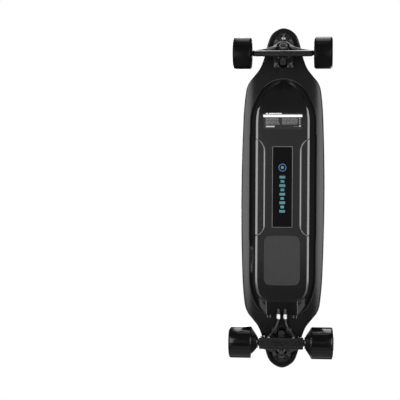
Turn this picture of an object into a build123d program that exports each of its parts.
"""Electric skateboard: longboard deck, underslung battery and controller box,
two reverse-kingpin trucks, two plain front wheels and two rear hub-motor wheels.

Units are millimetres.  +X is the nose, +Y the rider's left, +Z up.
The origin lies on the ground, midway between the axles and on the centre line.
"""

import os
from math import atan2, cos, radians, sin, tan

from build123d import *

os.makedirs("parts", exist_ok=True)

# ---------------------------------------------------------------- dimensions
# board
HALF_LENGTH = 482.5
HALF_WIDTH = 118.4
DECK_BOTTOM = 112.0
DECK_THICK = 12.0
DECK_TOP = DECK_BOTTOM + DECK_THICK
FLAT_HALF = 78.0
RAIL_RISE = 3.6
GRIP_THICK = 0.9
GRIP_INSET = 3.0

# trucks
HALF_BASE = 402.5
AXLE_Z = 44.0
KINGPIN_TILT = 35.0
RING_U = 14.0
RING_Z = 80.0
RISER_THICK = 3.0
PLATE_THICK = 6.0
PLATE_TOP = DECK_BOTTOM - RISER_THICK
PLATE_BOTTOM = PLATE_TOP - PLATE_THICK
PLATE_HALF = 28.0
PLATE_INNER = -34.0
PLATE_ROUND_U = 34.0
BOLT_U = 8.0
BOLT_SPAN = 63.5
BOLT_GAUGE = 41.3
BOLT_R = 2.5

# distances along the kingpin, measured from the ring centre, positive to the nut
SEAT_AT = -17.0
HEAD_AT = -22.0
HEAD_END = -27.0
RING_HALF = 4.5
BUSHING_GAP = 0.1
WASHER_AT = 16.0
WASHER_THICK = 1.4
NUT_THICK = 6.6
KINGPIN_END = 26.0
KINGPIN_R = 4.75
BUSHING_R = 14.0
RING_HOLE_R = 9.0

# distances along the steering axis, measured from the ring centre to the pivot
PIVOT_FROM = 26.0
PIVOT_TO = 46.0
PIVOT_R = 5.5
CUP_FROM = 37.0
CUP_TO = 50.0
CUP_R = 8.5
HOUSING_FROM = 37.5
HOUSING_TO = 53.0
HOUSING_R = 11.0
TOWER_HALF = 9.5

# wheels
WHEEL_R = 44.0
FRONT_WIDTH = 51.5
FRONT_MID = 111.95
CORE_R = 26.0
CORE_HALF = 13.0
BEARING_R = 11.0
BEARING_WIDE = 7.0
SPACER_HALF = 5.0
FRONT_BAR_HALF = 85.5
AXLE_R = 4.0
REAR_BAR_HALF = 62.5
MOTOR_INNER = 64.6
SLEEVE_INNER = 83.5
MOTOR_OUTER = 145.0
MOTOR_AXLE_R = 6.0
CAN_R = 38.0
MAGNET_R = 35.0
MAGNET_THICK = 2.6
STATOR_R = 31.2
MAGNET_COUNT = 14
TOOTH_COUNT = 12
CLEAR = 0.05
FRONT_BAR_R = 7.5
FRONT_BAR_END_R = 6.2
REAR_BAR_FACE = 14.0
SCREW_Z = 38.5
SCREW_SPOTS = [(y, SCREW_Z) for y in (-55, -34, 34, 55)]
CORE_RIM = 15.0
CORE_WEB = 8.0
MAGNET_FROM = 92.0
MAGNET_LONG = 40.0
AXLE_LONG = 120.0

# underslung box
BOX_HALF = 94.3
BOX_FACE_HALF = 75.5
BOX_TOP = 110.5
BOX_BOTTOM = 72.0
WALL = 3.0
FLANGE = 9.0
TAIL_HALF = 44.0
TAIL_TOP_X = -331.0
TAIL_FACE_X = -289.0
SHOULDER_X = -205.0
NOSE_X = 200.0
POST_Y = 62.0
POST_XS = (-95.0, -15.0, 65.0, 145.0)
POST_R = 6.0
POST_SPOTS = [(x, y) for x in POST_XS for y in (-POST_Y, POST_Y)]

# panels on the flat face of the box
CHEEK_INNER = 48.6
CHEEK_OUTER = 73.0
CHEEK_FRONT = 166.0
CHEEK_REAR = -104.0
PANEL_HALF = 27.0
PANEL_FRONT = 143.0
PANEL_REAR = -82.0
SINK_HALF = 51.0
SINK_FRONT = -110.0
SINK_REAR = -248.0
LABEL_HALF = 54.0
CHEEK_CORNER = 8.0
PANEL_CORNER = 4.0
SINK_CORNER = 12.0
LABEL_CORNER = 2.0
FIT_GAP = 0.1
LABEL_FRONT = 238.0
LABEL_REAR = 192.0

# control pod on the right-hand wall of the box
POD_X = -174.0
POD_LONG = 80.0
POD_WIDE = 18.0
POD_PROUD = 2.0
BUTTON_AT = 3.0
SOCKET_AT = 22.0
HINGE_AT = 32.0
HINGE_LIFT = 4.1
LIGHT_ATS = (-32.0, -26.0, -20.0, -14.0)

# motor cables
CABLE_R = 3.0
CABLE_Y = 9.5
CABLE_Z = 99.0
GLAND_END = -328.0
GLAND_R = 5.0
GLAND_COLLAR_R = 5.8
GLAND_LONG = 20.0
TAG_R = 4.3
EXIT_BOSS_R = 4.6
TAG_LONG = 6.0


def finish(piece, name):
    """Label a piece and write it under its own name."""
    piece.label = name
    export_step(piece, f"parts/{name}.step")


# ------------------------------------------------------------------ the deck
PLAN_POINTS = (
    (0, HALF_WIDTH),
    (200, 114.5),
    (290, 108.3),
    (323.5, 100),
    (346, 83.3),
    (368.6, 66.6),
    (402, 54.2),
    (436, 45.9),
    (461, 36),
    (476, 19.7),
    (HALF_LENGTH, 0),
)


def plan_block(inset, low, high):
    """Upright block on the deck's plan; the inset pulls every point of the plan inwards."""
    with BuildPart() as block:
        with BuildSketch(Plane.XY.offset(low)):
            with BuildLine():
                Spline(*[pulled_in(point, inset) for point in PLAN_POINTS], tangents=((1, 0), (0, -1)))
                mirror(about=Plane.YZ)
                mirror(about=Plane.XZ)
            make_face()
        extrude(amount=high - low)
    return block


def pulled_in(point, inset):
    """A plan point moved inwards, sideways at the waist and lengthways at the tip."""
    x, y = point
    tip = max(0, x - 440) / (HALF_LENGTH - 440)
    return (x - inset * tip, y - inset * (1 - tip))


def slab(low, thick):
    """Full-length slab with the board's cross-section: flat middle, rails lifting to the edges."""
    reach = HALF_WIDTH + 2
    with BuildPart() as body:
        with BuildSketch(Plane.YZ.offset(-HALF_LENGTH - 5)):
            with BuildLine():
                for side in (-1, 1):
                    under = Line((0, low), (side * FLAT_HALF, low))
                    rail = TangentArc(under @ 1, (side * reach, low + RAIL_RISE), tangent=(side, 0))
                    edge = Line(rail @ 1, (side * reach, low + RAIL_RISE + thick))
                    over = TangentArc((side * FLAT_HALF, low + thick), edge @ 1, tangent=(side, 0))
                    Line(over @ 0, (0, low + thick))
            make_face()
        extrude(amount=2 * HALF_LENGTH + 10)
    return body


def truck_frame(end, height=0.0):
    """Plane over an axle, local X pointing outwards to the nose or tail."""
    return Plane(origin=(end * HALF_BASE, 0, height), x_dir=(end, 0, 0), z_dir=(0, 0, 1))


with BuildPart() as deck:
    add(slab(DECK_BOTTOM, DECK_THICK).part)
    add(plan_block(0, DECK_BOTTOM - 5, DECK_TOP + 10).part, mode=Mode.INTERSECT)
    for end in (-1, 1):
        with Locations(truck_frame(end, DECK_TOP)):
            with Locations((BOLT_U, 0)):
                with GridLocations(BOLT_SPAN, BOLT_GAUGE, 2, 2):
                    CounterSinkHole(BOLT_R + 0.2, 2 * BOLT_R + 0.2, DECK_THICK + 5, counter_sink_angle=90)
    with BuildSketch(Plane.XY.offset(DECK_BOTTOM)):
        with Locations(POST_SPOTS):
            Circle(2.05)
    extrude(amount=7.5, mode=Mode.SUBTRACT)
finish(deck.part, "deck")

with BuildPart() as grip_tape:
    add(slab(DECK_TOP, GRIP_THICK).part)
    add(plan_block(GRIP_INSET, DECK_TOP - 5, DECK_TOP + 10).part, mode=Mode.INTERSECT)
finish(grip_tape.part, "grip_tape")


# ------------------------------------------------- the underslung box's shell
def box_outline(depth, inset):
    """Plan outline of the box; depth runs from 0 at the deck to 1 at the flat face."""
    half = BOX_HALF + (BOX_FACE_HALF - BOX_HALF) * depth - inset
    tail_x = TAIL_TOP_X + (TAIL_FACE_X - TAIL_TOP_X) * depth + inset
    tail_half = TAIL_HALF - inset
    nose = 137.0 - 52.0 * depth - inset
    with BuildLine() as line:
        tail = Line((tail_x, 0), (tail_x, tail_half))
        shoulder = Spline(
            tail @ 1,
            (tail_x + 0.35 * (SHOULDER_X - tail_x), half - 0.19 * (half - tail_half)),
            (SHOULDER_X, half),
            tangents=((0.35, 1), (1, 0)),
        )
        Line(shoulder @ 1, (NOSE_X, half))
        EllipticalCenterArc((NOSE_X, 0), nose, half, start_angle=0, arc_size=90)
        mirror(about=Plane.XZ)
    return line


def box_block(inset, low, high):
    """Solid body of the box between two heights, its walls raked in downwards."""
    span = BOX_TOP - BOX_BOTTOM
    with BuildPart() as block:
        for height in (high, low):
            with BuildSketch(Plane.XY.offset(height)):
                add(box_outline((BOX_TOP - height) / span, inset))
                make_face()
        loft(ruled=True)
    return block


def box_slice(inset, low, high):
    """Straight-sided slice of the box's deck outline."""
    with BuildPart() as slice_part:
        with BuildSketch(Plane.XY.offset(low)):
            add(box_outline(0, inset))
            make_face()
        extrude(amount=high - low)
    return slice_part


def face_plate(x_span, y_span, corner, low, high, grow=0.0):
    """Round-cornered plate lying on the flat face; its heights are measured from the face, upwards."""
    with BuildPart() as plate:
        with BuildSketch(Plane.XY.offset(BOX_BOTTOM + low)):
            with Locations((sum(x_span) / 2, sum(y_span) / 2)):
                RectangleRounded(
                    x_span[1] - x_span[0] + 2 * grow,
                    y_span[1] - y_span[0] + 2 * grow,
                    corner,
                )
        extrude(amount=high - low)
    return plate


CHEEK_SPANS = ((-CHEEK_OUTER, -CHEEK_INNER), (CHEEK_INNER, CHEEK_OUTER))
CHEEK_LONG = (CHEEK_REAR, CHEEK_FRONT)
PANEL_LONG = (PANEL_REAR, PANEL_FRONT)
PANEL_SPAN = (-PANEL_HALF, PANEL_HALF)
SINK_LONG = (SINK_REAR, SINK_FRONT)
SINK_SPAN = (-SINK_HALF, SINK_HALF)
CHEEK_DEEP = 1.5
PANEL_DEEP = 0.8
SINK_DEEP = 1.5

wall_rake = atan2(BOX_TOP - BOX_BOTTOM, BOX_HALF - BOX_FACE_HALF)
pod_frame = Plane(
    origin=(POD_X, -(BOX_HALF + BOX_FACE_HALF) / 2, (BOX_TOP + BOX_BOTTOM) / 2),
    x_dir=(1, 0, 0),
    z_dir=(0, -sin(wall_rake), -cos(wall_rake)),
)
tail_centre = TAIL_TOP_X - 5
tail_screws = [(tail_centre - 1, y) for y in (-41, -33, 33, 41)]

with BuildPart() as enclosure_shell:
    add(box_block(0, BOX_BOTTOM, BOX_TOP).part)
    bottom_rim = enclosure_shell.faces().sort_by(Axis.Z)[0].edges()
    fillet(bottom_rim, 3.0)
    add(box_block(WALL, BOX_BOTTOM + WALL, BOX_TOP - WALL).part, mode=Mode.SUBTRACT)
    add(box_slice(FLANGE, BOX_TOP - WALL - 0.5, BOX_TOP + 0.5).part, mode=Mode.SUBTRACT)
    with Locations((tail_centre, 0, BOX_TOP - 1.5)):
        Box(14, 2 * TAIL_HALF + 4, 3)
    with BuildSketch(Plane.XY.offset(BOX_BOTTOM + WALL - 0.5)):
        with Locations(POST_SPOTS):
            Circle(POST_R)
    extrude(amount=BOX_TOP - BOX_BOTTOM - WALL + 0.5)
    for span in CHEEK_SPANS:
        add(face_plate(CHEEK_LONG, span, CHEEK_CORNER, -1, CHEEK_DEEP, FIT_GAP).part, mode=Mode.SUBTRACT)
    seat = face_plate(PANEL_LONG, PANEL_SPAN, PANEL_CORNER, -1, PANEL_DEEP, FIT_GAP)
    add(seat.part, mode=Mode.SUBTRACT)
    add(face_plate(SINK_LONG, SINK_SPAN, SINK_CORNER, -1, SINK_DEEP, FIT_GAP).part, mode=Mode.SUBTRACT)
    with Locations(((SINK_REAR + SINK_FRONT) / 2, 0, BOX_BOTTOM)):
        Box(SINK_FRONT - SINK_REAR - 15.6, 2 * SINK_HALF - 15.6, 10, mode=Mode.SUBTRACT)
    with BuildSketch(Plane.XY.offset(BOX_BOTTOM)):
        with Locations(POST_SPOTS):
            Circle(4)
    extrude(amount=5, mode=Mode.SUBTRACT)
    with BuildSketch(Plane.XY.offset(BOX_BOTTOM)):
        with Locations(POST_SPOTS):
            Circle(2.2)
        with Locations(tail_screws):
            Circle(1.6)
    extrude(amount=BOX_TOP - BOX_BOTTOM + 1, mode=Mode.SUBTRACT)
    with BuildSketch(pod_frame.offset(-8)):
        SlotOverall(POD_LONG - 3.9, POD_WIDE - 3.9)
    extrude(amount=16, mode=Mode.SUBTRACT)
    with BuildSketch(pod_frame.offset(-1.1)):
        SlotOverall(POD_LONG + 0.2, POD_WIDE + 0.2)
    extrude(amount=10, mode=Mode.SUBTRACT)
    with BuildSketch(Plane.YZ.offset(GLAND_END)):
        with Locations((CABLE_Y, CABLE_Z), (-CABLE_Y, CABLE_Z)):
            Circle(GLAND_R + FIT_GAP)
    extrude(amount=GLAND_LONG + 4, mode=Mode.SUBTRACT)
finish(enclosure_shell.part, "enclosure_shell")

with BuildPart() as enclosure_gasket:
    add(box_slice(0, BOX_TOP, DECK_BOTTOM).part)
    add(box_slice(FLANGE - 1, BOX_TOP - 1, DECK_BOTTOM + 1).part, mode=Mode.SUBTRACT)
finish(enclosure_gasket.part, "enclosure_gasket")

with BuildPart() as side_cheeks:
    for span in CHEEK_SPANS:
        add(face_plate(CHEEK_LONG, span, CHEEK_CORNER, -0.8, CHEEK_DEEP).part)
    fillet(side_cheeks.faces().group_by(Axis.Z)[0].edges(), 0.6)
finish(side_cheeks.part, "side_cheeks")

with BuildPart() as centre_panel:
    add(face_plate(PANEL_LONG, PANEL_SPAN, PANEL_CORNER, -0.2, PANEL_DEEP).part)
finish(centre_panel.part, "centre_panel")

with BuildPart() as heat_sink:
    sink_middle = (SINK_REAR + SINK_FRONT) / 2
    add(face_plate(SINK_LONG, SINK_SPAN, SINK_CORNER, -1.2, SINK_DEEP).part)
    fillet(heat_sink.faces().sort_by(Axis.Z)[0].edges(), 1.0)
    with Locations((sink_middle, 0, BOX_BOTTOM + 3.5)):
        Box(SINK_FRONT - SINK_REAR - 16, 2 * SINK_HALF - 16, 5)
    with Locations((sink_middle, 0, BOX_BOTTOM + 6)):
        with GridLocations(0, 10, 1, 8):
            Box(SINK_FRONT - SINK_REAR - 20, 6, 2.4, mode=Mode.SUBTRACT)
finish(heat_sink.part, "heat_sink")

with BuildPart() as data_label:
    add(face_plate((LABEL_REAR, LABEL_FRONT), (-LABEL_HALF, LABEL_HALF), LABEL_CORNER, -0.3, 0).part)
finish(data_label.part, "data_label")

with BuildPart() as enclosure_screws:
    with BuildSketch(Plane.XY.offset(BOX_BOTTOM + 2)):
        with Locations(POST_SPOTS):
            Circle(3.8)
    extrude(amount=3)
    with BuildSketch(Plane.XY.offset(BOX_BOTTOM + 2)):
        with Locations(POST_SPOTS):
            RegularPolygon(1.7, 6)
    extrude(amount=1.8, mode=Mode.SUBTRACT)
    with BuildSketch(Plane.XY.offset(BOX_BOTTOM + 5)):
        with Locations(POST_SPOTS):
            Circle(2.0)
    extrude(amount=DECK_BOTTOM - BOX_BOTTOM + 2)
    with BuildSketch(Plane.XY.offset(BOX_TOP - 4.2)):
        with Locations(tail_screws):
            Circle(2.6)
    extrude(amount=1.2)
    with BuildSketch(Plane.XY.offset(BOX_TOP - 3)):
        with Locations(tail_screws):
            Circle(1.5)
    extrude(amount=3)
finish(enclosure_screws.part, "enclosure_screws")

# ------------------------------------------------------- inside the box
CELL_R = 9.2
CELL_LONG = 65.0
CELL_ROWS = 5
CELL_COLUMNS = 4
CELL_PITCH = 19.4
CELL_MIDDLE = 36.0
TRAY_LOW = BOX_BOTTOM + WALL + 0.3

with BuildPart() as battery_cells:
    for column in range(CELL_COLUMNS):
        start = CELL_MIDDLE + (column - CELL_COLUMNS / 2) * (CELL_LONG + 2) + 1
        with BuildSketch(Plane.YZ.offset(start)):
            with Locations((0, TRAY_LOW + 1.5 + CELL_R)):
                with GridLocations(CELL_PITCH, 0, CELL_ROWS, 1):
                    Circle(CELL_R)
        extrude(amount=CELL_LONG)
finish(battery_cells.part, "battery_cells")

with BuildPart() as battery_tray:
    tray_long = CELL_COLUMNS * (CELL_LONG + 2) + 8
    tray_wide = CELL_ROWS * CELL_PITCH + 4
    with Locations((CELL_MIDDLE, 0, TRAY_LOW + 7)):
        Box(tray_long, tray_wide, 14)
        with Locations((0, 0, 1.4)):
            Box(tray_long - 4, tray_wide - 3, 14, mode=Mode.SUBTRACT)
finish(battery_tray.part, "battery_tray")

with BuildPart() as battery_monitor:
    with Locations((200, 0, 84)):
        Box(36, 86, 1.6)
        with Locations((0, 0, 2.8)):
            with GridLocations(12, 14, 2, 5):
                Box(8, 6, 4)
finish(battery_monitor.part, "battery_monitor")

with BuildPart() as controller_board:
    with Locations((sink_middle, 0, 92)):
        Box(116, 84, 1.6)
        with Locations((0, 0, -5.6)):
            with GridLocations(17, 56, 6, 2):
                Box(10, 15, 9.6)
        with Locations((-38, 0, 6.8)):
            with GridLocations(14, 14, 2, 4):
                Cylinder(6, 12)
finish(controller_board.part, "controller_board")

with BuildPart() as radio_receiver:
    with Locations((240, 0, 93)):
        Box(22, 34, 1.6)
        with Locations((0, 0, 2.3)):
            Box(14, 22, 3)
    with BuildSketch(Plane.XZ.offset(-17)):
        with Locations((240, 93)):
            Circle(0.8)
    extrude(amount=-28)
finish(radio_receiver.part, "radio_receiver")


# ------------------------------------------------------------ control pod
def on_pod(along, lift=0.0):
    """Plane on the pod face, shifted along the board and lifted off the wall."""
    return Plane(
        origin=pod_frame.from_local_coords((along, 0, lift)),
        x_dir=pod_frame.x_dir,
        z_dir=pod_frame.z_dir,
    )


hinge_line = Plane(
    origin=on_pod(HINGE_AT, HINGE_LIFT).origin,
    x_dir=(1, 0, 0),
    z_dir=pod_frame.y_dir,
)

with BuildPart() as pod_bezel:
    with BuildSketch(pod_frame.offset(-1.0)):
        SlotOverall(POD_LONG, POD_WIDE)
    extrude(amount=1.0 + POD_PROUD)
    fillet(pod_bezel.edges().filter_by(lambda e: pod_frame.to_local_coords(e.center()).Z > 1.9), 0.8)
    with BuildSketch(pod_frame.offset(-7)):
        SlotOverall(POD_LONG - 4.1, POD_WIDE - 4.1)
    extrude(amount=6.5)
    with BuildSketch(pod_frame.offset(-8)):
        with Locations((BUTTON_AT, 0)):
            Circle(5.6)
        with Locations((SOCKET_AT, 0)):
            Circle(6.1)
        with Locations([(at, 0) for at in LIGHT_ATS]):
            Circle(1.25)
    extrude(amount=12, mode=Mode.SUBTRACT)
    with Locations(on_pod(HINGE_AT, POD_PROUD + 1.6)):
        with GridLocations(0, 8.4, 1, 2):
            Box(3.4, 2.0, 4.2)
    with BuildSketch(hinge_line):
        Circle(0.8)
    extrude(amount=8, both=True, mode=Mode.SUBTRACT)
finish(pod_bezel.part, "pod_bezel")

with BuildPart() as power_button:
    with BuildSketch(on_pod(BUTTON_AT, -2.5)):
        Circle(5.4)
    extrude(amount=2.5 + POD_PROUD + 0.9)
    fillet(power_button.edges().filter_by(lambda e: pod_frame.to_local_coords(e.center()).Z > 2), 0.7)
finish(power_button.part, "power_button")

with BuildPart() as status_lights:
    for at in LIGHT_ATS:
        with BuildSketch(on_pod(at, -4)):
            Circle(1.2)
        extrude(amount=4 + POD_PROUD + 0.2)
finish(status_lights.part, "status_lights")

with BuildPart() as charge_socket:
    with BuildSketch(on_pod(SOCKET_AT, -11)):
        Circle(6.0)
    extrude(amount=11 + POD_PROUD)
    with BuildSketch(on_pod(SOCKET_AT, -8.5)):
        Circle(4.6)
    extrude(amount=12, mode=Mode.SUBTRACT)
    with BuildSketch(on_pod(SOCKET_AT, -9)):
        Circle(1.0)
    extrude(amount=7.5)
finish(charge_socket.part, "charge_socket")

with BuildPart() as charge_cap:
    with BuildSketch(on_pod(SOCKET_AT, POD_PROUD + 0.15)):
        Circle(7.4)
    extrude(amount=1.8)
    fillet(charge_cap.edges().filter_by(lambda e: pod_frame.to_local_coords(e.center()).Z > 3), 0.6)
    with BuildSketch(on_pod(SOCKET_AT, POD_PROUD - 1.4)):
        Circle(3.4)
    extrude(amount=1.6)
    with Locations(on_pod((SOCKET_AT + HINGE_AT) / 2 + 2.2, POD_PROUD + 1.25)):
        Box(5.4, 5.6, 1.4)
    with BuildSketch(hinge_line):
        Circle(1.8)
    extrude(amount=2.8, both=True)
    with BuildSketch(hinge_line):
        Circle(0.8)
    extrude(amount=4, both=True, mode=Mode.SUBTRACT)
finish(charge_cap.part, "charge_cap")

with BuildPart() as charge_cap_pin:
    with BuildSketch(hinge_line):
        Circle(0.75)
    extrude(amount=5.2, both=True)
finish(charge_cap_pin.part, "charge_cap_pin")

# ------------------------------------------------------------ motor cables
CABLE_ROUTE = (
    (GLAND_END, CABLE_Y, CABLE_Z),
    (-341, CABLE_Y, CABLE_Z),
    (-358, 13.5, 97),
    (-375, 22.5, 90),
    (-388, 33.5, 80),
    (-396.5, 43.5, 69),
    (-401, 50, 57),
)
cable_heading = (Vector(*CABLE_ROUTE[-1]) - Vector(*CABLE_ROUTE[-2])).normalized()


def bend_radii(points):
    """Largest useful arc at each corner of a route."""
    radii = []
    for before, corner, after in zip(points, points[1:], points[2:]):
        run_in = Vector(*corner) - Vector(*before)
        run_out = Vector(*after) - Vector(*corner)
        turn = radians(run_in.get_angle(run_out))
        radii.append(0.45 * min(run_in.length, run_out.length) / tan(turn / 2))
    return radii


for side, side_name in ((1, "left"), (-1, "right")):
    route = [(x, side * y, z) for x, y, z in CABLE_ROUTE]
    radii = bend_radii(route)
    print(side_name, "cable arcs", [round(radius) for radius in radii])
    with BuildPart() as motor_cable:
        with BuildLine():
            path = FilletPolyline(*route, radius=radii)
        with BuildSketch(Plane(origin=path @ 0, z_dir=path % 0)):
            Circle(CABLE_R)
        sweep()
    finish(motor_cable.part, f"motor_cable_{side_name}")
    print("cable length", round(path.length, 1))

with BuildPart() as cable_glands:
    for side in (-1, 1):
        with BuildSketch(Plane.YZ.offset(GLAND_END)):
            with Locations((side * CABLE_Y, CABLE_Z)):
                Circle(GLAND_R)
        extrude(amount=GLAND_LONG)
        with BuildSketch(Plane.YZ.offset(GLAND_END)):
            with Locations((side * CABLE_Y, CABLE_Z)):
                Circle(GLAND_COLLAR_R)
        extrude(amount=3)
finish(cable_glands.part, "cable_glands")

with BuildPart() as cable_tags:
    for side in (-1, 1):
        with BuildSketch(Plane.YZ.offset(GLAND_END - 1 - TAG_LONG)):
            with Locations((side * CABLE_Y, CABLE_Z)):
                Circle(TAG_R)
                Circle(CABLE_R + CLEAR, mode=Mode.SUBTRACT)
        extrude(amount=TAG_LONG)
finish(cable_tags.part, "cable_tags")


# ---------------------------------------------------------------- trucks
tilt = radians(KINGPIN_TILT)


def side_plane(end):
    """Vertical plane on the centre line: local X outwards, local Y up."""
    return Plane(origin=(end * HALF_BASE, 0, 0), x_dir=(end, 0, 0), z_dir=(0, -end, 0))


def ring_frame(end):
    """Frame in the steering ring: X along the steering axis, Z down the kingpin."""
    return Plane(
        origin=(end * (HALF_BASE + RING_U), 0, RING_Z),
        x_dir=(end * cos(tilt), 0, sin(tilt)),
        z_dir=(end * sin(tilt), 0, -cos(tilt)),
    )


def pivot_frame(end, along):
    """Frame square to the steering axis, at a distance from the ring towards the pivot."""
    ring = ring_frame(end)
    return Plane(origin=ring.from_local_coords((-along, 0, 0)), x_dir=(0, 1, 0), z_dir=-ring.x_dir)


def ring_point(along, down):
    """Side-view point given along the steering axis and down the kingpin."""
    return (
        RING_U + along * cos(tilt) + down * sin(tilt),
        RING_Z + along * sin(tilt) - down * cos(tilt),
    )


def kingpin_disc(end, start, stop, radius, bore=0.0):
    """Round washer, seat or bushing on the kingpin."""
    with BuildPart() as disc:
        with BuildSketch(ring_frame(end).offset(start)):
            Circle(radius)
            if bore:
                Circle(bore, mode=Mode.SUBTRACT)
        extrude(amount=stop - start)
    return disc


def bolt_points():
    return GridLocations(BOLT_SPAN, BOLT_GAUGE, 2, 2)


def plate_sketch(end, height):
    """Plan of a truck base plate: square inboard, round outboard."""
    with BuildSketch(truck_frame(end, height)) as plan:
        with Locations(((PLATE_INNER + PLATE_ROUND_U) / 2, 0)):
            RectangleRounded(PLATE_ROUND_U - PLATE_INNER, 2 * PLATE_HALF, 6)
        with Locations((PLATE_ROUND_U - 10, 0)):
            Rectangle(20, 2 * PLATE_HALF)
        with Locations((PLATE_ROUND_U, 0)):
            Circle(PLATE_HALF)
        with Locations((BOLT_U, 0)):
            with bolt_points():
                Circle(BOLT_R + 0.2, mode=Mode.SUBTRACT)
    return plan


with BuildPart() as risers:
    for end in (-1, 1):
        extrude(plate_sketch(end, PLATE_TOP).sketch, amount=RISER_THICK)
finish(risers.part, "risers")

for end, end_name in ((1, "front"), (-1, "rear")):
    with BuildPart() as baseplate:
        with BuildSketch(side_plane(end)):
            with BuildLine():
                Polyline(
                    (PLATE_INNER, PLATE_BOTTOM + 1),
                    (-13, PLATE_BOTTOM + 1),
                    ring_point(-36, -13),
                    ring_point(-HOUSING_FROM - 3, -6),
                    ring_point(-HOUSING_TO, -6),
                    ring_point(-HOUSING_TO - 1, -14),
                    (-38, 76),
                    (PLATE_INNER, 92),
                    close=True,
                )
            make_face()
        extrude(amount=TOWER_HALF, both=True)
        with BuildSketch(side_plane(end)):
            with BuildLine():
                Polyline(
                    ring_point(-15, SEAT_AT),
                    ring_point(16.5, SEAT_AT),
                    (-18, PLATE_BOTTOM + 1),
                    (-16, 92),
                    close=True,
                )
            make_face()
        extrude(amount=16, both=True)
        with BuildSketch(pivot_frame(end, HOUSING_FROM)):
            Circle(HOUSING_R)
        extrude(amount=HOUSING_TO - HOUSING_FROM)
        with BuildSketch(Plane.XY.offset(PLATE_TOP)):
            Rectangle(2000, 200)
        extrude(amount=60, mode=Mode.SUBTRACT)
        extrude(plate_sketch(end, PLATE_BOTTOM).sketch, amount=PLATE_THICK)
        with BuildSketch(truck_frame(end, PLATE_BOTTOM - 2.5)):
            with Locations((PLATE_ROUND_U + 15, 0)):
                Circle(8.5)
        extrude(amount=4)
        with BuildSketch(pivot_frame(end, CUP_FROM - 1)):
            Circle(CUP_R)
        extrude(amount=CUP_TO - CUP_FROM + 1, mode=Mode.SUBTRACT)
        add(kingpin_disc(end, SEAT_AT - 8, SEAT_AT + 1, KINGPIN_R + CLEAR).part, mode=Mode.SUBTRACT)
        add(kingpin_disc(end, HEAD_AT - 25, HEAD_AT, 7.2).part, mode=Mode.SUBTRACT)
    finish(baseplate.part, f"{end_name}_baseplate")

    with BuildPart() as kingpin:
        add(kingpin_disc(end, HEAD_AT, KINGPIN_END, KINGPIN_R).part)
        with BuildSketch(ring_frame(end).offset(HEAD_END)):
            RegularPolygon(7.0, 6)
        extrude(amount=HEAD_AT - HEAD_END)
    finish(kingpin.part, f"{end_name}_kingpin")

    with BuildPart() as bushings:
        bore = KINGPIN_R + CLEAR
        add(kingpin_disc(end, SEAT_AT, -RING_HALF - BUSHING_GAP, BUSHING_R, bore).part)
        with BuildSketch(ring_frame(end).offset(RING_HALF + BUSHING_GAP)):
            Circle(BUSHING_R - 1)
            Circle(bore, mode=Mode.SUBTRACT)
        with BuildSketch(ring_frame(end).offset(WASHER_AT)):
            Circle(BUSHING_R - 4)
            Circle(bore, mode=Mode.SUBTRACT)
        loft()
    finish(bushings.part, f"{end_name}_bushings")

with BuildPart() as pivot_cups:
    for end in (-1, 1):
        with BuildSketch(pivot_frame(end, CUP_FROM)):
            Circle(CUP_R)
        extrude(amount=CUP_TO - CUP_FROM)
        with BuildSketch(pivot_frame(end, CUP_FROM)):
            Circle(PIVOT_R + CLEAR)
        extrude(amount=PIVOT_TO - CUP_FROM + 0.4, mode=Mode.SUBTRACT)
finish(pivot_cups.part, "pivot_cups")

with BuildPart() as kingpin_nuts:
    for end in (-1, 1):
        nut_at = WASHER_AT + WASHER_THICK
        add(kingpin_disc(end, WASHER_AT, nut_at, BUSHING_R - 3.5, KINGPIN_R + CLEAR).part)
        with BuildSketch(ring_frame(end).offset(nut_at + 0.02)):
            RegularPolygon(8.2, 6)
            Circle(KINGPIN_R + CLEAR, mode=Mode.SUBTRACT)
        extrude(amount=NUT_THICK)
finish(kingpin_nuts.part, "kingpin_nuts")

with BuildPart() as truck_bolts:
    for end in (-1, 1):
        with BuildSketch(truck_frame(end, PLATE_BOTTOM - 7.5)):
            with Locations((BOLT_U, 0)):
                with bolt_points():
                    Circle(BOLT_R)
        extrude(amount=DECK_TOP - PLATE_BOTTOM + 7.5)
        with Locations(truck_frame(end, DECK_TOP - BOLT_R / 2)):
            with Locations((BOLT_U, 0)):
                with bolt_points():
                    Cone(BOLT_R, 2 * BOLT_R, BOLT_R)
finish(truck_bolts.part, "truck_bolts")

with BuildPart() as truck_nuts:
    for end in (-1, 1):
        with BuildSketch(truck_frame(end, PLATE_BOTTOM - 5.6)):
            with Locations((BOLT_U, 0)):
                with bolt_points():
                    RegularPolygon(5.0, 6)
                    Circle(BOLT_R + CLEAR, mode=Mode.SUBTRACT)
        extrude(amount=5.6)
finish(truck_nuts.part, "truck_nuts")


# ---------------------------------------------------------------- hangers
def across_axle(end, reach=0.0, side=1):
    """Plane square to an axle at a distance from the middle, facing +Y or, for side -1, -Y."""
    return Plane(origin=(end * HALF_BASE, side * reach, AXLE_Z), z_dir=(0, side, 0))


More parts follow.
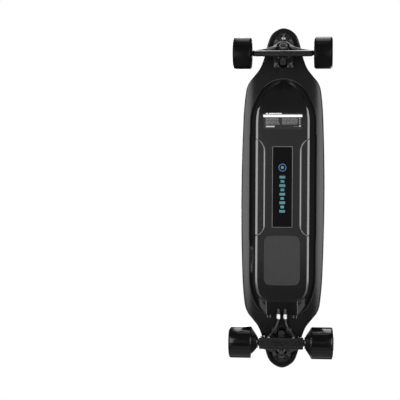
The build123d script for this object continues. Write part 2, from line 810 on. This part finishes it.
def yoke(end, front_points):
    """Web that rises from the axle beam to the steering ring."""
    with BuildPart() as web:
        with BuildSketch(side_plane(end)):
            with BuildLine():
                Polyline(
                    (-5.5, AXLE_Z - 5),
                    (5.5, AXLE_Z - 5),
                    (8, AXLE_Z + 7),
                    ring_point(-15, RING_HALF),
                    ring_point(27, RING_HALF),
                    ring_point(27, -RING_HALF),
                    ring_point(-PIVOT_FROM - 4, -RING_HALF),
                    (-12, AXLE_Z + 10),
                    close=True,
                )
            make_face()
        extrude(amount=60, both=True)
        with BuildSketch(Plane.YZ.offset(end * HALF_BASE)):
            with BuildLine():
                Polyline(*front_points, *[(-y, z) for y, z in reversed(front_points)], close=True)
            make_face()
        extrude(amount=60, both=True, mode=Mode.INTERSECT)
        with BuildSketch(pivot_frame(end, PIVOT_FROM)):
            Circle(RING_HALF + 4.5)
        with BuildSketch(pivot_frame(end, CUP_FROM - 2)):
            Circle(PIVOT_R)
        loft()
        with BuildSketch(pivot_frame(end, CUP_FROM - 2)):
            Circle(PIVOT_R)
        extrude(amount=PIVOT_TO - CUP_FROM + 2)
        add(kingpin_disc(end, -RING_HALF - 6, RING_HALF + 6, RING_HOLE_R).part, mode=Mode.SUBTRACT)
    return web


FRONT_YOKE = ((48, AXLE_Z - 6), (48, AXLE_Z + 4), (26, 62), (20, 80), (9, RING_Z + 24))
REAR_YOKE = ((36, AXLE_Z - 6), (36, AXLE_Z + 8), (24, 64), (20, 80), (9, RING_Z + 24))

with BuildPart() as front_hanger:
    with BuildSketch(across_axle(1)):
        Circle(FRONT_BAR_R)
    extrude(amount=FRONT_BAR_HALF, both=True)
    with BuildSketch(across_axle(1)):
        Circle(FRONT_BAR_END_R)
    extrude(amount=FRONT_MID - CORE_HALF + 0.7, both=True)
    add(yoke(1, FRONT_YOKE).part)
    with BuildSketch(across_axle(1)):
        Circle(AXLE_R)
    extrude(amount=AXLE_LONG, both=True, mode=Mode.SUBTRACT)
finish(front_hanger.part, "front_hanger")

with BuildPart() as rear_hanger:
    with BuildSketch(side_plane(-1)):
        with BuildLine():
            Polyline(
                (-14, 35),
                (-10, 32),
                (10, 32),
                (REAR_BAR_FACE, 36),
                (REAR_BAR_FACE, 51),
                (11, 53.5),
                (-3, 53.5),
                (-14, 42),
                close=True,
            )
        make_face()
    extrude(amount=REAR_BAR_HALF, both=True)
    add(yoke(-1, REAR_YOKE).part)
    for side in (-1, 1):
        exit_x, exit_y, exit_z = CABLE_ROUTE[-1]
        boss_heading = Vector(cable_heading.X, side * cable_heading.Y, cable_heading.Z)
        with BuildSketch(Plane(origin=(exit_x, side * exit_y, exit_z), z_dir=boss_heading)):
            Circle(EXIT_BOSS_R)
        extrude(amount=7)
    with BuildSketch(across_axle(-1)):
        Circle(MOTOR_AXLE_R)
    extrude(amount=AXLE_LONG, both=True, mode=Mode.SUBTRACT)
    with BuildSketch(Plane.YZ.offset(REAR_BAR_FACE - HALF_BASE)):
        with Locations(SCREW_SPOTS):
            Circle(2.0)
    extrude(amount=-7, mode=Mode.SUBTRACT)
finish(rear_hanger.part, "rear_hanger")

with BuildPart() as hanger_screws:
    with BuildSketch(Plane.YZ.offset(REAR_BAR_FACE - HALF_BASE)):
        with Locations(SCREW_SPOTS):
            Circle(3.4)
    extrude(amount=3)
    with BuildSketch(Plane.YZ.offset(REAR_BAR_FACE - HALF_BASE)):
        with Locations(SCREW_SPOTS):
            Circle(1.95)
    extrude(amount=-6)
    with BuildSketch(Plane.YZ.offset(REAR_BAR_FACE - HALF_BASE + 3)):
        with Locations(SCREW_SPOTS):
            RegularPolygon(1.5, 6)
    extrude(amount=-1.8, mode=Mode.SUBTRACT)
finish(hanger_screws.part, "hanger_screws")


# ------------------------------------------------------------ front wheels
def wheel_plane(end):
    """Half-section plane of a wheel: local X radial, local Y along +Y from the board's middle."""
    return Plane(origin=(end * HALF_BASE, 0, AXLE_Z), x_dir=(1, 0, 0), z_dir=(0, 0, -1))


def axle_line(end):
    return Axis((end * HALF_BASE, 0, AXLE_Z), (0, 1, 0))


def turned(end, *outlines):
    """Body turned about an axle from closed outlines of (radius, distance from the middle)."""
    with BuildPart() as body:
        for outline in outlines:
            with BuildSketch(wheel_plane(end)):
                with BuildLine():
                    Polyline(*[(radius, -reach) for radius, reach in outline], close=True)
                make_face()
            revolve(axis=axle_line(end))
    return body


TYRE_HALF = FRONT_WIDTH / 2
bearing_near = SPACER_HALF
bearing_far = SPACER_HALF + BEARING_WIDE


def ring_outline(inner, outer, near, far):
    return ((inner, near), (outer, near), (outer, far), (inner, far))


for side, side_name in ((1, "left"), (-1, "right")):
    def across(points, side=side):
        return [(radius, side * (FRONT_MID + reach)) for radius, reach in points]

    with BuildPart() as tyre:
        flank = ((CORE_R, -CORE_RIM), (29, -17.5), (37, -TYRE_HALF), (WHEEL_R, -TYRE_HALF))
        mirrored = [(radius, -reach) for radius, reach in reversed(flank)]
        add(turned(1, across([*flank, *mirrored])).part)
        lips = tyre.edges().filter_by(GeomType.CIRCLE)
        fillet(lips.filter_by(lambda e: e.radius > WHEEL_R - 0.1), 4.5)
        fillet(tyre.edges().filter_by(GeomType.CIRCLE).filter_by(lambda e: abs(e.radius - 37) < 0.1), 2)
    finish(tyre.part, f"front_{side_name}_tyre")

    with BuildPart() as core:
        web = ((8.6, -bearing_near + 0.2), (BEARING_R, -bearing_near + 0.2), (BEARING_R, -CORE_HALF),
               (14, -CORE_HALF), (16, -CORE_WEB), (22, -CORE_WEB), (23, -CORE_RIM), (CORE_R, -CORE_RIM))
        mirrored = [(radius, -reach) for radius, reach in reversed(web)]
        add(turned(1, across([*web, *mirrored])).part)
        with BuildSketch(across_axle(1)):
            with PolarLocations(19, 6):
                Circle(2.2)
        extrude(amount=200, both=True, mode=Mode.SUBTRACT)
    finish(core.part, f"front_{side_name}_core")

    shells = []
    for face in (-1, 1):
        near, far = face * bearing_near, face * bearing_far
        shield = far - face * 0.8
        shells.append(across(((9.0, near), (BEARING_R, near), (BEARING_R, far),
                              (6.7, far), (6.7, shield), (9.0, shield))))
    with BuildPart() as bearing_shells:
        add(turned(1, *shells).part)
    finish(bearing_shells.part, f"front_{side_name}_bearings")

with BuildPart() as front_axle:
    with BuildSketch(across_axle(1)):
        Circle(AXLE_R)
    extrude(amount=134, both=True)
    chamfer(front_axle.faces().filter_by(Axis.Y).edges(), 0.8)
finish(front_axle.part, "front_axle")

with BuildPart() as front_bearing_cores:
    for side in (-1, 1):
        def sleeve_on_axle(outer, near, far, side=side):
            return ring_outline(AXLE_R + CLEAR, outer, side * (FRONT_MID + near), side * (FRONT_MID + far))

        inner_ring = sleeve_on_axle(6.2, -bearing_far, -bearing_near)
        outer_ring = sleeve_on_axle(6.2, bearing_near, bearing_far)
        spacer = sleeve_on_axle(5.6, 0.05 - SPACER_HALF, SPACER_HALF - 0.05)
        washer = sleeve_on_axle(5.9, bearing_far + 0.05, bearing_far + 0.95)
        add(turned(1, inner_ring, outer_ring, spacer, washer).part)
finish(front_bearing_cores.part, "front_bearing_cores")

with BuildPart() as front_axle_nuts:
    for side in (-1, 1):
        with BuildSketch(across_axle(1, FRONT_MID + bearing_far + 1.0, side)):
            RegularPolygon(7.4, 6)
            Circle(AXLE_R + CLEAR, mode=Mode.SUBTRACT)
        extrude(amount=7)
finish(front_axle_nuts.part, "front_axle_nuts")

# ------------------------------------------------------------ hub motors
for side, side_name in ((1, "left"), (-1, "right")):
    def reach(points, side=side):
        return [(radius, side * along) for radius, along in points]

    with BuildPart() as sleeve:
        add(turned(-1, reach(((CAN_R, SLEEVE_INNER), (42.5, SLEEVE_INNER), (WHEEL_R, SLEEVE_INNER + 1.5),
                              (WHEEL_R, MOTOR_OUTER - 1), (CAN_R, MOTOR_OUTER - 1)))).part)
        rims = sleeve.edges().filter_by(GeomType.CIRCLE).filter_by(lambda e: e.radius > WHEEL_R - 0.1)
        fillet(rims.sort_by(lambda e: abs(e.center().Y))[-1], 5)
    finish(sleeve.part, f"rear_{side_name}_sleeve")

    with BuildPart() as can:
        wall = ((MAGNET_R, SLEEVE_INNER), (CAN_R, SLEEVE_INNER),
                (CAN_R, MOTOR_OUTER - 1.5), (34, MOTOR_OUTER))
        end_plate = ((0, MOTOR_OUTER), (0, 141), (7, 141), (7, 139.2), (14, 139.2),
                     (14, 131.5), (18, 131.5), (18, 139), (MAGNET_R, 139))
        add(turned(-1, reach([*wall, *end_plate])).part)
    finish(can.part, f"rear_{side_name}_motor_can")

    with BuildPart() as magnets:
        with BuildSketch(across_axle(-1, MAGNET_FROM, side)):
            with PolarLocations(MAGNET_R - MAGNET_THICK / 2 - 0.6, MAGNET_COUNT):
                Rectangle(MAGNET_THICK, 12)
        extrude(amount=MAGNET_LONG)
    finish(magnets.part, f"rear_{side_name}_magnets")

    with BuildPart() as cover:
        add(turned(-1, reach(((14.2, MOTOR_INNER), (16, MOTOR_INNER), (41.6, SLEEVE_INNER - 0.3),
                              (CAN_R, SLEEVE_INNER - 0.05), (MAGNET_R - 1, SLEEVE_INNER - 0.05),
                              (17.5, 74), (14, 74), (14, 67.5), (7.2, 67.5), (7.2, MOTOR_INNER)))).part)
    finish(cover.part, f"rear_{side_name}_motor_cover")

    with BuildPart() as bearings:
        add(turned(-1, reach(ring_outline(MOTOR_AXLE_R + CLEAR, 14, 67.5, 73.9)),
                   reach(ring_outline(MOTOR_AXLE_R + CLEAR, 14, 131.6, 139))).part)
    finish(bearings.part, f"rear_{side_name}_motor_bearings")

with BuildPart() as rear_axle:
    for side in (-1, 1):
        with BuildSketch(across_axle(-1, 34, side)):
            Circle(MOTOR_AXLE_R)
        extrude(amount=106)
finish(rear_axle.part, "rear_axle")

with BuildPart() as motor_stators:
    for side in (-1, 1):
        with BuildSketch(across_axle(-1, MAGNET_FROM, side)):
            Circle(STATOR_R)
            Circle(STATOR_R - 2.5, mode=Mode.SUBTRACT)
            with PolarLocations(STATOR_R, TOOTH_COUNT, start_angle=180 / TOOTH_COUNT):
                Rectangle(12, 3, mode=Mode.SUBTRACT)
            Circle(15)
            with PolarLocations(21.5, TOOTH_COUNT):
                Rectangle(17, 5)
            Circle(MOTOR_AXLE_R, mode=Mode.SUBTRACT)
        extrude(amount=36)
finish(motor_stators.part, "motor_stators")
